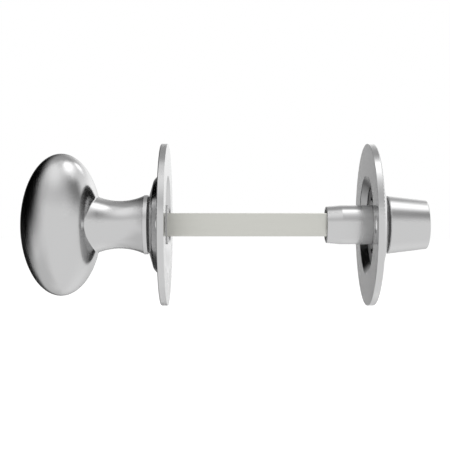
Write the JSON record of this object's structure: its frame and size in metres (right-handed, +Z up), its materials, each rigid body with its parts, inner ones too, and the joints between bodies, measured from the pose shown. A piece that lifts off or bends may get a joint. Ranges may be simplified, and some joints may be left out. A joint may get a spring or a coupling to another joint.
{
  "type": "bathroom turn and release set",
  "caption": "Oval thumb turn on a waisted stem and round rose, with a square spindle through the door to a tapered coin-slot release on a matching rose.",
  "frame": {"origin": "centre of the turn rose's back face, on the spindle axis, midway between its two screw holes", "axes": "+X along the spindle from the turn towards the release, +Z up along the knob's long axis, +Y across the knob's width"},
  "size_m": [0.0879, 0.035, 0.035],
  "materials": {
    "satin_metal": "satin plated",
    "spindle_steel": "plain bright drawn",
    "spring_steel": "bright zinc plated",
    "nylon": "matte"
  },
  "bodies": {
    "turn_plate": {"turn_rose": "satin_metal", "turn_bearing_washer": "nylon"},
    "turn_and_spindle": {"turn_knob": "satin_metal", "turn_wave_washer": "spring_steel", "turn_clip": "spring_steel", "spindle": "spindle_steel"},
    "release_turn": {"release": "satin_metal", "release_clip": "spring_steel", "release_wave_washer": "spring_steel"},
    "release_plate": {"release_rose": "satin_metal", "release_bearing_washer": "nylon"}
  },
  "joints": [
    {"name": "turn_spin", "type": "hinge", "parent": "turn_plate", "child": "turn_and_spindle", "pos_m": [0, 0, 0], "axis": [1, 0, 0], "continuous": true},
    {"name": "door_thickness_slide", "type": "slide", "parent": "turn_plate", "child": "release_plate", "axis": [1, 0, 0], "range_m": [-0.008, 0.005]},
    {"name": "release_spin", "type": "hinge", "parent": "release_plate", "child": "release_turn", "pos_m": [0.0429, 0, 0], "axis": [1, 0, 0], "continuous": true}
  ],
  "couplings": [
    {"joint": "release_spin", "follows": "turn_spin", "ratio": 1}
  ]
}
